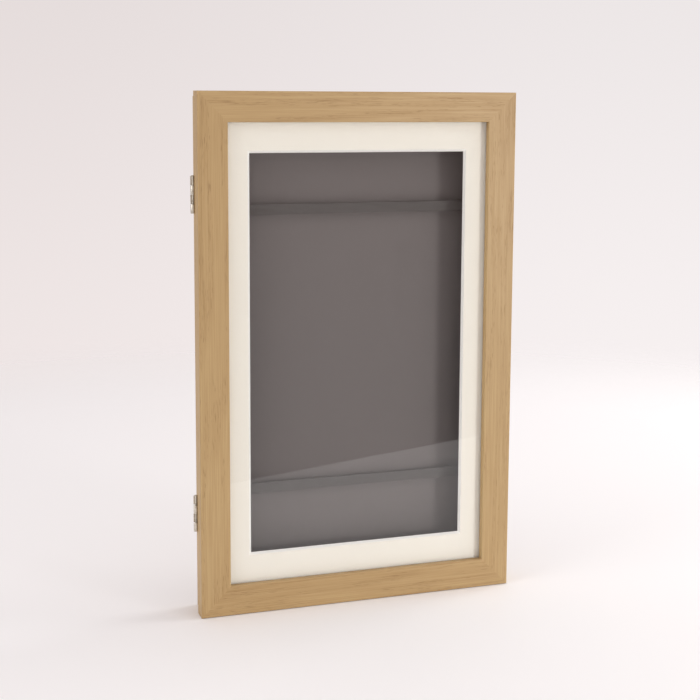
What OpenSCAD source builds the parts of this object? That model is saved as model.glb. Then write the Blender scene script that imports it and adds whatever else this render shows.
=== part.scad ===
// Standing display frame: a mitred glazed door, hinged on a shallow case with two elastic straps.
// Millimetres. X runs across the front, Y from front to back and Z up. The origin is the middle
// of the face that the case stands on.

/* [Overall] */
// Width of the door, the widest piece
frame_w = 230; // [200:1:300]
// Height of the frame from the table to the top of the door
frame_h = 360; // [300:1:460]

/* [Door] */
// Face width of the moulding
face_w = 20.7; // [19:0.1:30]
// Thickness of the moulding, front to back
door_t = 12; // [11.5:0.5:18]
// Depth of the lip in front of the glazing
lip_t = 4.5; // [3:0.1:5]
// Width of the rebate that the glazing sits in
rebate_w = 6; // [5:0.5:8]
// Radius of the eased edges of the moulding
arris_r = 0.6; // [0.3:0.1:1.2]
// Gap between the door's lower edge and the table
door_lift = 0.3; // [0.2:0.1:2]

/* [Glazing and mat] */
// Thickness of the clear sheet
glazing_t = 1.5; // [1:0.1:2]
// Thickness of the mat board
mat_t = 1.5; // [1:0.1:2]
// Play between the sheets and the rebate walls
sheet_play = 0.5; // [0.3:0.1:1]
// Width of the window in the mat, at its back
window_w = 156; // [80:1:160]
// Height of the window in the mat, at its back
window_h = 277; // [120:1:290]
// Length of a retainer tab
tab_len = 11; // [8:0.5:12]
// Width of a retainer tab
tab_w = 6; // [4:0.5:10]
// Thickness of a retainer tab
tab_t = 0.5; // [0.3:0.1:0.8]

/* [Case] */
// Amount by which the door stands out past the case at the sides and top
case_inset = 3.5; // [1:0.5:4]
// Depth of the case, front to back
case_d = 16; // [15:1:40]
// Thickness of the case sides
case_wall = 6; // [6:0.5:12]
// Gap between the closed door and the case
door_gap = 1; // [0.8:0.1:1.6]
// Thickness of the back panel
panel_t = 3; // [2:0.5:5]
// Width of the ledge behind the case that the back panel sits on
panel_ledge = 3.5; // [3:0.5:5]
// Thickness of the lining card
lining_t = 0.8; // [0.5:0.1:1.5]

/* [Straps] */
// Width of an elastic strap
strap_w = 8; // [7:0.5:16]
// Thickness of an elastic strap
strap_t = 1; // [0.6:0.1:1.5]
// Space between a strap and the lining
strap_gap = 5; // [4.5:0.1:6.5]
// Length of the strap ends that lie on the case sides
strap_tail = 5.5; // [5:0.5:7]
// Distance of the upper strap from the top
strap_from_top = 80.5; // [40:0.5:110]
// Distance of the lower strap from the table
strap_from_base = 83.5; // [40:0.5:110]

/* [Hinges] */
// Length of a hinge
hinge_len = 25; // [20:1:40]
// Outer radius of the knuckles
knuckle_r = 1.8; // [1.7:0.1:2.1]
// Radius of the hinge pin
pin_r = 0.75; // [0.6:0.05:0.8]
// Thickness of a leaf
leaf_t = 0.9; // [0.7:0.1:1]
// Distance from the pin's axis to the free edge of a leaf
leaf_w = 9.5; // [9:0.1:9.8]
// Distance of the pin's axis outside the door's side
axis_out = 0.6; // [0.5:0.1:1.2]
// Distance of the upper hinge's middle from the top
hinge_from_top = 69; // [50:0.5:100]
// Distance of the lower hinge's middle from the table
hinge_from_base = 71.5; // [50:0.5:100]

/* [Fasteners and fittings] */
// Shank radius of the hinge screws
screw_r = 0.8; // [0.6:0.1:0.9]
// Length of the hinge screws
screw_len = 8; // [6:0.5:9]
// Radius of the catch magnets
magnet_r = 2.5; // [2:0.1:2.8]
// Depth of the catch magnets
magnet_t = 3; // [2:0.5:4]
// Radius of the bumper pads
pad_r = 2.5; // [2:0.1:2.8]
// Length of a sawtooth hanger
hanger_len = 45; // [36:1:60]
// Height of a sawtooth hanger
hanger_h = 9; // [8:0.5:12]
// Number of brads along a long side of the back panel
brads_long = 3; // [2:1:6]
// Number of brads along a short side of the back panel
brads_short = 2; // [2:1:4]

/* [Hidden] */
$fn = 48;
overshoot = 1;
fit_gap = 0.05;
body_gap = 0.3;

// Depths below the door's front face, as if the frame lay face up
door_back = door_t;
case_front = door_t + door_gap;
case_back = case_front + case_d;
lining_back = case_back - panel_t;
lining_front = lining_back - lining_t;
strap_back = lining_front - strap_gap;
mat_front = lip_t + glazing_t;
mat_back = mat_front + mat_t;
axis_depth = (door_back + case_front) / 2;

door_h = frame_h - door_lift;
case_w = frame_w - 2 * case_inset;
case_h = frame_h - case_inset;
inner_w = case_w - 2 * case_wall;
inner_h = case_h - 2 * case_wall;
panel_w = inner_w + 2 * panel_ledge - 2 * body_gap;
panel_h = inner_h + 2 * panel_ledge - 2 * body_gap;
sheet_inset = face_w - rebate_w + sheet_play;
sheet_w = frame_w - 2 * sheet_inset;
sheet_h = door_h - 2 * sheet_inset;
door_mid = door_lift + door_h / 2;
case_mid = case_h / 2;
tab_bite = tab_len / 2;

axis_x = -frame_w / 2 - axis_out;
knuckle_count = 4;
knuckle_pitch = hinge_len / knuckle_count;
bore_r = pin_r + fit_gap;
leaf_back = body_gap / 2 + leaf_t;
screw_head_r = 2 * screw_r;
screw_x = axis_x + leaf_w - screw_head_r - 1.2;
screw_rise = hinge_len / 4;
pin_head = 0.6;
knuckle_end_play = fit_gap + pin_head + body_gap;
hinge_heights = [frame_h - hinge_from_top, hinge_from_base];

wedge_t = 0.5;
wedge_depth = 6;
door_wedge_arm = 2;
door_wedges = [5.5, 10.5];
case_wedge_arm = 1.3;
case_wedge = 3.2;
catch_heights = [frame_h * 0.25, frame_h * 0.75];
catch_x = case_w / 2 - case_wall / 2;
disc_r = magnet_r + 1;
disc_t = 0.6;
pad_heights = [14, case_h - 14];
staple_wire = 0.5;
staple_crown = 6;
staple_leg = 4;
brad_r = 0.5;
brad_head_r = 1;
brad_len = 9;
brad_inset = case_wall - panel_ledge / 2;
hanger_t = 0.8;
hanger_rise = 1.2;
hanger_foot = 8;
hanger_teeth = 9;
hanger_from_edge = 16;
nail_r = 0.7;
nail_head_r = 1.5;

oak = [0.74, 0.61, 0.43];
card = [0.92, 0.87, 0.81];
dark = [0.27, 0.26, 0.25];
band = [0.16, 0.15, 0.15];
clear = [0.85, 0.9, 0.92, 0.3];
nickel = [0.78, 0.76, 0.7];
steel = [0.62, 0.62, 0.63];
board = [0.5, 0.38, 0.26];

// Stands up what is drawn lying face up: X across, Y towards the top and Z towards the viewer,
// with the door's front face at Z = 0 and the middle of the case's depth at the origin.
module stand_up() {
    translate([0, -(case_front + case_back) / 2, 0]) rotate([90, 0, 0]) children();
}

// A box with its near face at depth from and its far face at depth to, centred on X and Y.
module slab(w, h, from, to) {
    translate([-w / 2, -h / 2, -to]) cube([w, h, to - from]);
}

// A cylinder that runs from one depth to another.
module post(r, from, to) {
    translate([0, 0, -to]) cylinder(r = r, h = to - from);
}

// A rectangle with rounded corners, from its lower left corner.
module eased_rect(w, h, r) {
    translate([r, 0]) square([w - 2 * r, h]);
    translate([0, r]) square([w, h - 2 * r]);
    for (x = [r, w - r], y = [r, h - r]) translate([x, y]) circle(r = r);
}

// ---- Mitred bars ----

// A bar along X with its outer edge on Y = 0, cut at 45 degrees at both ends. Its section is
// the 2D child: X across the face from the outer edge, Y towards the viewer.
module mitred_bar(len, w, depth) {
    intersection() {
        translate([-len / 2, 0, 0]) rotate([90, 0, 90]) linear_extrude(height = len) children();
        translate([0, 0, -depth - overshoot]) linear_extrude(height = depth + 2 * overshoot)
            polygon([[-len / 2, 0], [len / 2, 0], [len / 2 - w, w], [w - len / 2, w]]);
    }
}

// Puts a bar on one side of a w by h rectangle whose lower edge is at Y = 0.
// side 0 is the bottom, 1 the right, 2 the top and 3 the left.
module on_side(side, w, h) {
    x = side == 1 ? w / 2 : side == 3 ? -w / 2 : 0;
    y = side == 0 ? 0 : side == 2 ? h : h / 2;
    translate([x, y, 0]) rotate([0, 0, 90 * side]) children();
}

module door_section() {
    difference() {
        translate([0, -door_t]) eased_rect(face_w, door_t, arris_r);
        translate([face_w - rebate_w, -door_t - overshoot])
            square([rebate_w + overshoot, door_t - lip_t + overshoot]);
    }
}

module case_section() {
    difference() {
        translate([0, -case_back]) square([case_wall, case_d]);
        translate([case_wall - panel_ledge, -case_back - overshoot])
            square([panel_ledge + overshoot, panel_t + overshoot]);
    }
}

module door_bar(side) {
    difference() {
        translate([0, door_lift, 0]) on_side(side, frame_w, door_h)
            mitred_bar(side % 2 == 0 ? frame_w : door_h, face_w, door_t) door_section();
        retainer_set();
        door_wedge_set(1);
    }
}

module case_bar(side) {
    difference() {
        on_side(side, case_w, case_h)
            mitred_bar(side % 2 == 0 ? case_w : case_h, case_wall, case_back) case_section();
        case_wedge_set(1);
        at_brads() brad(1);
    }
}

// ---- Small parts that repeat ----
// Where a module takes cut, 0 draws the part and 1 draws the pocket for it, which has play round
// the part and runs out past the face that the part enters.

// One flat tab, pressed into the rebate wall on the side of the mat board.
module retainer(along) {
    translate([along, face_w - rebate_w, -mat_back - tab_t])
        translate([-tab_w / 2, -tab_bite, 0]) cube([tab_w, tab_len, tab_t]);
}

module retainer_set() {
    for (side = [0:3]) {
        run = side % 2 == 0 ? sheet_w : sheet_h;
        count = side % 2 == 0 ? 2 : 3;
        for (i = [0:count - 1])
            translate([0, door_lift, 0]) on_side(side, frame_w, door_h)
                retainer((i - (count - 1) / 2) * run / count);
    }
}

// A V-shaped wedge across a mitre, its point towards the outer corner.
module wedge(reach, from, to, arm) {
    translate([reach, reach, -to]) rotate([0, 0, 45])
        linear_extrude(height = to - from)
            polygon([[0, 0], [arm, arm], [arm + wedge_t, arm - wedge_t], [wedge_t * 2, 0],
                [arm + wedge_t, wedge_t - arm], [arm, -arm]]);
}

module in_corners(w, h) {
    for (mx = [0, 1], my = [0, 1])
        mirror([mx, 0, 0]) translate([0, h / 2, 0]) mirror([0, my, 0])
            translate([-w / 2, -h / 2, 0]) children();
}

module door_wedge_set(cut) {
    translate([0, door_lift, 0]) in_corners(frame_w, door_h) for (reach = door_wedges)
        wedge(reach, door_back - wedge_depth, door_back + cut * overshoot, door_wedge_arm);
}

module case_wedge_set(cut) {
    in_corners(case_w, case_h)
        wedge(case_wedge, case_front - cut * overshoot, case_front + wedge_depth, case_wedge_arm);
}

// A countersunk screw that enters away from the viewer, its head flush at the given depth.
module hinge_screw(depth, cut) {
    head_t = leaf_t - 0.1;
    play = cut * fit_gap;
    translate([0, 0, -depth]) rotate([180, 0, 0]) {
        cylinder(r1 = screw_head_r + play, r2 = screw_r + play, h = head_t + play);
        cylinder(r = screw_r + play, h = screw_len + play);
        if (cut == 1) translate([0, 0, -overshoot])
            cylinder(r = screw_head_r + play, h = overshoot + play / 2);
    }
}

module cross_slot(depth) {
    for (turn = [0, 90]) translate([0, 0, -depth]) rotate([0, 0, turn])
        cube([screw_head_r * 1.3, 0.35, 0.7], center = true);
}

// Places a child at each screw of each hinge, at depth zero.
module at_screws() {
    for (z = hinge_heights, rise = [-screw_rise, screw_rise])
        translate([screw_x, z + rise, 0]) children();
}

// Turns what is drawn for the case's side of the hinge over to the door's side.
module door_side() {
    translate([0, 0, -2 * axis_depth]) mirror([0, 0, 1]) children();
}

module case_screw_set(cut) {
    at_screws() hinge_screw(axis_depth + body_gap / 2, cut);
}

// ---- Hinges ----

// The solid of one hinge leaf before its bore is cut, for the case's side.
module leaf_blank(first) {
    plate_from = knuckle_r + body_gap + fit_gap;
    translate([axis_x + plate_from, -hinge_len / 2, -axis_depth - leaf_back])
        cube([leaf_w - plate_from, hinge_len, leaf_t]);
    for (i = [first:2:knuckle_count - 1]) {
        low = -hinge_len / 2 + i * knuckle_pitch + (i == 0 ? 0 : body_gap / 2);
        high = -hinge_len / 2 + (i + 1) * knuckle_pitch
            - (i == knuckle_count - 1 ? 0 : body_gap / 2);
        translate([axis_x, low, -axis_depth]) rotate([-90, 0, 0])
            cylinder(r = knuckle_r, h = high - low);
        translate([axis_x, low, -axis_depth - leaf_back])
            cube([leaf_w / 2, high - low, leaf_t]);
    }
}

module hinge_leaf(z, first) {
    difference() {
        translate([0, z, 0]) leaf_blank(first);
        translate([axis_x, z - hinge_len / 2 - overshoot, -axis_depth]) rotate([-90, 0, 0])
            cylinder(r = bore_r, h = hinge_len + 2 * overshoot);
        case_screw_set(1);
    }
}

// The shallow pocket that a leaf lies in, for the case's side.
module leaf_pocket() {
    for (z = hinge_heights)
        translate([axis_x, z - hinge_len / 2 - fit_gap, -axis_depth - leaf_back])
            cube([leaf_w + fit_gap, hinge_len + 2 * fit_gap, leaf_back]);
}

// Room for the knuckles in the door's edge.
module knuckle_room() {
    for (z = hinge_heights)
        translate([axis_x, z - hinge_len / 2 - knuckle_end_play, -axis_depth])
            rotate([-90, 0, 0])
                cylinder(r = knuckle_r + 0.4, h = hinge_len + 2 * knuckle_end_play);
}

// ---- Fittings ----

module magnet_set(cut) {
    for (z = catch_heights) translate([catch_x, z, 0])
        post(magnet_r + cut * fit_gap, case_front - cut * overshoot, case_front + magnet_t);
}

module disc_set(cut) {
    for (z = catch_heights) translate([catch_x, z, 0])
        post(disc_r + cut * fit_gap, door_back - disc_t, door_back + cut * overshoot);
}

// One brad along the panel's edge, driven from the back.
module brad(cut) {
    post(brad_r + cut * fit_gap, case_back - brad_len, case_back + cut * overshoot);
}

module at_brads() {
    for (side = [0:3]) {
        run = side % 2 == 0 ? panel_w : panel_h;
        count = side % 2 == 0 ? brads_short : brads_long;
        for (i = [0:count - 1])
            on_side(side, case_w, case_h)
                translate([(i - (count - 1) / 2) * run / count, brad_inset, 0]) children();
    }
}

// The strap's path seen from above: along the back, round each bend and forward on the sides.
module strap_path() {
    bend_r = 1 + strap_t;
    difference() {
        translate([-inner_w / 2, -strap_back]) eased_rect(inner_w, 3 * strap_tail, bend_r);
        translate([-inner_w / 2 + strap_t, -strap_back + strap_t])
            eased_rect(inner_w - 2 * strap_t, 3 * strap_tail, bend_r - strap_t);
        translate([-inner_w / 2 - overshoot, -strap_back + strap_t + strap_tail])
            square([inner_w + 2 * overshoot, 3 * strap_tail]);
    }
}

module strap(height) {
    translate([0, height + strap_w / 2, 0]) rotate([90, 0, 0])
        linear_extrude(height = strap_w) strap_path();
}

// A staple on the left side's inner face, its legs in the wood.
module staple(height) {
    from = -inner_w / 2 + strap_t;
    depth = strap_back - strap_t - strap_tail / 2;
    translate([from, height, -depth]) {
        translate([0, -staple_crown / 2, -staple_wire / 2])
            cube([staple_wire, staple_crown, staple_wire]);
        for (end = [-1, 1])
            translate([-strap_t - staple_leg, end * (staple_crown - staple_wire) / 2
                - staple_wire / 2, -staple_wire / 2])
                cube([strap_t + staple_leg + staple_wire / 2, staple_wire, staple_wire]);
    }
}

module staple_set() {
    for (mx = [0, 1], height = [frame_h - strap_from_top, strap_from_base])
        mirror([mx, 0, 0]) staple(height);
}

// A strip hanger seen from the back, its toothed edge down, on the back panel.
module hanger() {
    foot_x = hanger_len / 2 - hanger_foot;
    pitch = 2 * foot_x / hanger_teeth;
    difference() {
        union() {
            for (end = [-1, 1]) translate([end * (foot_x + hanger_foot / 2), 0, 0])
                slab(hanger_foot, hanger_h, case_back, case_back + hanger_t);
            slab(2 * foot_x, hanger_h, case_back + hanger_rise, case_back + hanger_rise + hanger_t);
            for (end = [-1, 1]) translate([end * foot_x, 0, 0])
                slab(hanger_t, hanger_h, case_back, case_back + hanger_rise + hanger_t);
        }
        for (i = [0:hanger_teeth - 1])
            translate([(i - (hanger_teeth - 1) / 2) * pitch, -hanger_h / 2,
                -case_back - hanger_rise - 2 * hanger_t])
                linear_extrude(height = 3 * hanger_t)
                    polygon([[-pitch * 0.42, -overshoot], [pitch * 0.42, -overshoot],
                        [pitch * 0.42, 0], [0, hanger_h * 0.28], [-pitch * 0.42, 0]]);
        for (end = [-1, 1]) translate([end * (foot_x + hanger_foot / 2), 0, 0])
            post(nail_r + fit_gap, case_back - overshoot, case_back + hanger_t + overshoot);
    }
}

// One hanger at the top and one on a long side, so that the frame hangs either way.
module at_hangers() {
    translate([0, case_h - hanger_from_edge, 0]) children();
    translate([case_w / 2 - hanger_from_edge, case_mid, 0]) rotate([0, 0, -90]) children();
}

module nail_pair(cut) {
    for (end = [-1, 1]) translate([end * (hanger_len - hanger_foot) / 2, 0, 0])
        post(nail_r + cut * fit_gap, lining_back - cut * overshoot,
            case_back + hanger_t + cut * overshoot);
}

// ---- Door ----

module door_left_stile() {
    color(oak) stand_up() difference() {
        door_bar(3);
        knuckle_room();
        door_side() leaf_pocket();
        door_side() case_screw_set(1);
    }
}

module door_right_stile() {
    color(oak) stand_up() difference() {
        door_bar(1);
        disc_set(1);
    }
}

module door_top_rail() {
    color(oak) stand_up() door_bar(2);
}

module door_bottom_rail() {
    color(oak) stand_up() door_bar(0);
}

module glazing() {
    color(clear) stand_up() translate([0, door_mid, 0]) slab(sheet_w, sheet_h, lip_t, mat_front);
}

// The window's sides slope at 45 degrees, open towards the viewer.
module mat_board() {
    color(card) stand_up() translate([0, door_mid, 0]) difference() {
        slab(sheet_w, sheet_h, mat_front, mat_back);
        intersection() {
            window_cut(window_w, sheet_h);
            rotate([0, 0, 90]) window_cut(window_h, sheet_h);
        }
    }
}

// A long groove with sloping sides, as wide as given at the mat's back.
module window_cut(w, len) {
    front = mat_t + overshoot;
    translate([0, len / 2, 0]) rotate([90, 0, 0]) linear_extrude(height = len)
        polygon([[-w / 2 + overshoot, -mat_back - overshoot],
            [w / 2 - overshoot, -mat_back - overshoot],
            [w / 2 + front, -mat_back + front], [-w / 2 - front, -mat_back + front]]);
}

module mat_retainers() {
    color(steel) stand_up() retainer_set();
}

module door_corner_wedges() {
    color(steel) stand_up() door_wedge_set(0);
}

module strike_discs() {
    color(steel) stand_up() disc_set(0);
}

module upper_hinge_door_leaf() {
    color(nickel) stand_up() door_side() hinge_leaf(hinge_heights[0], 1);
}

module lower_hinge_door_leaf() {
    color(nickel) stand_up() door_side() hinge_leaf(hinge_heights[1], 1);
}

module door_hinge_screws() {
    color(nickel) stand_up() door_side() difference() {
        case_screw_set(0);
        at_screws() cross_slot(axis_depth + body_gap / 2);
    }
}

// ---- Case ----

module case_left_side() {
    color(oak) stand_up() difference() {
        case_bar(3);
        leaf_pocket();
        case_screw_set(1);
        staple_set();
    }
}

module case_right_side() {
    color(oak) stand_up() difference() {
        case_bar(1);
        magnet_set(1);
        staple_set();
    }
}

module case_top_side() {
    color(oak) stand_up() case_bar(2);
}

module case_bottom_side() {
    color(oak) stand_up() case_bar(0);
}

module back_panel() {
    color(board) stand_up() difference() {
        translate([0, case_mid, 0]) slab(panel_w, panel_h, lining_back, case_back);
        at_brads() brad(1);
        at_hangers() nail_pair(1);
    }
}

module lining_card() {
    color(dark) stand_up() translate([0, case_mid, 0])
        slab(inner_w - 2 * body_gap, inner_h - 2 * body_gap, lining_front, lining_back);
}

module upper_strap() {
    color(band) stand_up() difference() {
        strap(frame_h - strap_from_top);
        staple_set();
    }
}

module lower_strap() {
    color(band) stand_up() difference() {
        strap(strap_from_base);
        staple_set();
    }
}

module strap_staples() {
    color(steel) stand_up() staple_set();
}

module upper_hinge_case_leaf() {
    color(nickel) stand_up() hinge_leaf(hinge_heights[0], 0);
}

module lower_hinge_case_leaf() {
    color(nickel) stand_up() hinge_leaf(hinge_heights[1], 0);
}

module hinge_pins() {
    color(steel) stand_up()
        for (z = hinge_heights) translate([axis_x, z - hinge_len / 2, -axis_depth])
            rotate([-90, 0, 0]) {
                cylinder(r = pin_r, h = hinge_len + fit_gap + pin_head / 2);
                translate([0, 0, hinge_len + fit_gap])
                    cylinder(r1 = pin_r * 1.7, r2 = pin_r, h = pin_head);
            }
}

module case_hinge_screws() {
    color(nickel) stand_up() difference() {
        case_screw_set(0);
        at_screws() cross_slot(axis_depth + body_gap / 2);
    }
}

module catch_magnets() {
    color(steel) stand_up() magnet_set(0);
}

module bumper_pads() {
    color([0.85, 0.85, 0.83]) stand_up()
        for (mx = [0, 1], z = pad_heights) mirror([mx, 0, 0]) translate([catch_x, z, 0])
            post(pad_r, door_back + body_gap, case_front);
}

module case_corner_wedges() {
    color(steel) stand_up() case_wedge_set(0);
}

module back_brads() {
    color(steel) stand_up() at_brads() {
        brad(0);
        post(brad_head_r, case_back, case_back + body_gap);
    }
}

module sawtooth_hangers() {
    color(steel) stand_up() at_hangers() hanger();
}

module hanger_nails() {
    color(steel) stand_up() at_hangers() {
        nail_pair(0);
        for (end = [-1, 1]) translate([end * (hanger_len - hanger_foot) / 2, 0, 0])
            post(nail_head_r, case_back + hanger_t, case_back + 2 * hanger_t);
    }
}

door_left_stile();
door_right_stile();
door_top_rail();
door_bottom_rail();
glazing();
mat_board();
mat_retainers();
door_corner_wedges();
strike_discs();
upper_hinge_door_leaf();
lower_hinge_door_leaf();
door_hinge_screws();
case_left_side();
case_right_side();
case_top_side();
case_bottom_side();
back_panel();
lining_card();
upper_strap();
lower_strap();
strap_staples();
upper_hinge_case_leaf();
lower_hinge_case_leaf();
hinge_pins();
case_hinge_screws();
catch_magnets();
bumper_pads();
case_corner_wedges();
back_brads();
sawtooth_hangers();
hanger_nails();
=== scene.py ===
"""Dresses a standing display frame: a glazed oak door, hinged on a shallow lined case."""

import logging
import math
from dataclasses import dataclass
from enum import Enum
from typing import Any, Callable, Optional, Union

import bmesh
import bpy
from mathutils import Matrix, Vector


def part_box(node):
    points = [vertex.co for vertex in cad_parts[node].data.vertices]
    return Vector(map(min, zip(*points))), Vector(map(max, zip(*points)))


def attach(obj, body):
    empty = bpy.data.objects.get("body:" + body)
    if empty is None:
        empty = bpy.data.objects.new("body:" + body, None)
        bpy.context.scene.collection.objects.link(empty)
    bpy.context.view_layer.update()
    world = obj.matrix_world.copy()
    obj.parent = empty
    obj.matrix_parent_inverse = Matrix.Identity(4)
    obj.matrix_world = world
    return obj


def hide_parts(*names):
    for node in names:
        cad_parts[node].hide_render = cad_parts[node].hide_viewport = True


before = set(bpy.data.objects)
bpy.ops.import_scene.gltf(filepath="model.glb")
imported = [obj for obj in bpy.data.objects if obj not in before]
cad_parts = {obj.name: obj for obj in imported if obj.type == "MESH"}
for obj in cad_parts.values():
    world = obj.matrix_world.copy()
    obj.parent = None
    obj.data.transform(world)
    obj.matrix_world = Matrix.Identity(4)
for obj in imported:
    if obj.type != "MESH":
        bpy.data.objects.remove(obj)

LOG = logging.getLogger("display_frame")
MM = 0.001
NEAR = 0.1 * MM  # how close to a place counts as being there
ALONG = 0.9  # the least cosine that counts as along an axis
SQUARE = 0.99  # the least cosine that counts as exactly along it

Colour = tuple[float, float, float]
Point = tuple[float, float, float]

RIGHT: Point = (1, 0, 0)
BACK: Point = (0, 1, 0)
FRONT: Point = (0, -1, 0)
UP: Point = (0, 0, 1)
DOWN: Point = (0, 0, -1)


def srgb(red: int, green: int, blue: int) -> Colour:
    """Turns display values from 0 to 255 into a linear colour."""

    def linear(value: int) -> float:
        """Undoes the display curve of one channel."""
        part = value / 255
        return part / 12.92 if part <= 0.04045 else ((part + 0.055) / 1.055) ** 2.4

    return linear(red), linear(green), linear(blue)


# ---------------------------------------------------------------- shader sheets


class Value:
    """A number in a shader: Python arithmetic on it adds Math nodes."""

    def __init__(self, sheet: "ShaderSheet", socket: bpy.types.NodeSocket) -> None:
        """Keeps the sheet that the socket belongs to, and the socket."""
        self.sheet = sheet
        self.socket = socket

    def _math(self, operation: str, *operands: "Number") -> "Value":
        """Adds one Math node.

        Args:
            operation: the node's operation.
            operands: numbers or values, in the node's order.

        Returns:
            The node's result.
        """
        made = self.sheet.node("ShaderNodeMath", {"operation": operation}, dict(enumerate(operands)))
        return Value(self.sheet, made.outputs[0])

    def __add__(self, other: "Number") -> "Value":
        """self + other."""
        return self._math("ADD", self, other)

    def __sub__(self, other: "Number") -> "Value":
        """self - other."""
        return self._math("SUBTRACT", self, other)

    def __rsub__(self, other: "Number") -> "Value":
        """other - self."""
        return self._math("SUBTRACT", other, self)

    def __mul__(self, other: "Number") -> "Value":
        """self * other."""
        return self._math("MULTIPLY", self, other)

    def __pow__(self, other: "Number") -> "Value":
        """self to the power of other."""
        return self._math("POWER", self, other)

    def size(self) -> "Value":
        """The value without its sign."""
        return self._math("ABSOLUTE", self)

    def wave(self) -> "Value":
        """The value's sine, moved to run from 0 to 1."""
        return self._math("SINE", self) * 0.5 + 0.5

    def most(self, other: "Number") -> "Value":
        """The larger of the two."""
        return self._math("MAXIMUM", self, other)

    def ramp(self, low: float, high: float) -> "Value":
        """Runs smoothly from 0 at low to 1 at high, and stays there.

        Args:
            low: the input that gives 0.
            high: the input that gives 1; it may be the smaller of the two.

        Returns:
            The eased value.
        """
        made = self.sheet.node(
            "ShaderNodeMapRange",
            {"interpolation_type": "SMOOTHSTEP"},
            {"Value": self, "From Min": low, "From Max": high},
        )
        return Value(self.sheet, made.outputs[0])


Number = Union[Value, float, int]


class ShaderSheet:
    """One material's or the world's node tree, emptied and ready to draw on."""

    def __init__(self, tree: bpy.types.NodeTree) -> None:
        """Empties the tree."""
        self.tree = tree
        tree.nodes.clear()

    @classmethod
    def for_material(cls, name: str) -> tuple["ShaderSheet", bpy.types.Material]:
        """Makes a new material and its sheet."""
        material = bpy.data.materials.new(name)
        material.use_nodes = True
        return cls(material.node_tree), material

    def node(
        self,
        kind: str,
        settings: Optional[dict[str, Any]] = None,
        inputs: Optional[dict[Union[str, int], Any]] = None,
    ) -> bpy.types.Node:
        """Adds a node.

        Args:
            kind: the node's type.
            settings: its properties, set before its sockets.
            inputs: a number, colour, value or socket for each socket, by name or place.

        Returns:
            The node.
        """
        made = self.tree.nodes.new(kind)
        for name, setting in (settings or {}).items():
            setattr(made, name, setting)
        for name, given in (inputs or {}).items():
            socket = made.inputs[name]
            source = given.socket if isinstance(given, Value) else given
            if isinstance(source, bpy.types.NodeSocket):
                self.tree.links.new(source, socket)
            elif isinstance(source, tuple) and socket.type == "RGBA":
                socket.default_value = (*source, 1.0)[:4]
            else:
                socket.default_value = source
        return made

    def place(self) -> bpy.types.NodeSocket:
        """The object coordinates, in metres."""
        return self.node("ShaderNodeTexCoord").outputs["Object"]

    def axes(self) -> tuple[Value, Value, Value]:
        """The object coordinates as three values."""
        parts = self.node("ShaderNodeSeparateXYZ", inputs={0: self.place()})
        return tuple(Value(self, socket) for socket in parts.outputs)

    def beyond(self, upright: Point) -> Value:
        """How far a place lies outside an upright rectangle, below 0 inside it.

        Args:
            upright: the rectangle's half width, middle height and half height.

        Returns:
            The distance, in metres.
        """
        half_w, mid, half_h = upright
        side, _, height = self.axes()
        return (side.size() - half_w).most((height - mid).size() - half_h)

    def noise(
        self, scale: Point, shift: Point = (0.0, 0.0, 0.0), detail: float = 2.0, warp: float = 0.0,
        rough: float = 0.5,
    ) -> Value:
        """Noise in object coordinates.

        Args:
            scale: features per metre along each axis.
            shift: moves the pattern, in features.
            detail: how many finer layers are added.
            warp: how far the noise distorts itself.
            rough: how strong the finer layers are.

        Returns:
            The noise, around 0.5.
        """
        spot = self.node(
            "ShaderNodeMapping", inputs={"Vector": self.place(), "Scale": scale, "Location": shift}
        )
        made = self.node(
            "ShaderNodeTexNoise",
            inputs={"Vector": spot.outputs[0], "Scale": 1.0, "Detail": detail, "Distortion": warp,
                    "Roughness": rough},
        )
        return Value(self, made.outputs[0])

    def cells(self, scale: Point) -> Value:
        """Distance to the nearest of scattered points, in object coordinates."""
        spot = self.node("ShaderNodeMapping", inputs={"Vector": self.place(), "Scale": scale})
        made = self.node("ShaderNodeTexVoronoi", inputs={"Vector": spot.outputs[0], "Scale": 1.0})
        return Value(self, made.outputs[0])

    def blend(self, factor: Number, first: Any, second: Any) -> bpy.types.NodeSocket:
        """Mixes two colours.

        Args:
            factor: 0 gives the first and 1 the second.
            first: a colour or a colour socket.
            second: a colour or a colour socket.

        Returns:
            The mixed colour's socket.
        """
        made = self.node("ShaderNodeMix", {"data_type": "RGBA"}, {0: factor, 6: first, 7: second})
        return made.outputs[2]

    def bump(self, height: Value, depth: float, strength: float = 1.0) -> bpy.types.NodeSocket:
        """Tilts the surface by a height field.

        Args:
            height: the field, from 0 to 1.
            depth: the height of 1, in metres.
            strength: how much of the tilt is kept.

        Returns:
            The normal's socket.
        """
        made = self.node(
            "ShaderNodeBump", inputs={"Height": height, "Distance": depth, "Strength": strength}
        )
        return made.outputs[0]

    def surface(self, **inputs: Any) -> bpy.types.NodeSocket:
        """A Principled shader whose sockets are named with underscores for spaces."""
        named = {name.replace("_", " "): given for name, given in inputs.items()}
        return self.node("ShaderNodeBsdfPrincipled", inputs=named).outputs[0]

    def output(self, shader: bpy.types.NodeSocket, kind: str = "ShaderNodeOutputMaterial") -> None:
        """Sends a shader to the output node."""
        self.node(kind, inputs={"Surface": shader})


# ---------------------------------------------------------------- finishes


class Body(Enum):
    """The bodies that pieces ride on."""

    CASE = "case"
    DOOR = "door"


class Axis(Enum):
    """The axis that a grain or a weave runs along."""

    ACROSS = 0
    UPRIGHT = 2

    def stretch(self, fine: float, long: float) -> Point:
        """Features per metre on each axis: long along this one and fine on the others."""
        scale = [fine, fine, fine]
        scale[self.value] = long
        return tuple(scale)


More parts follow.
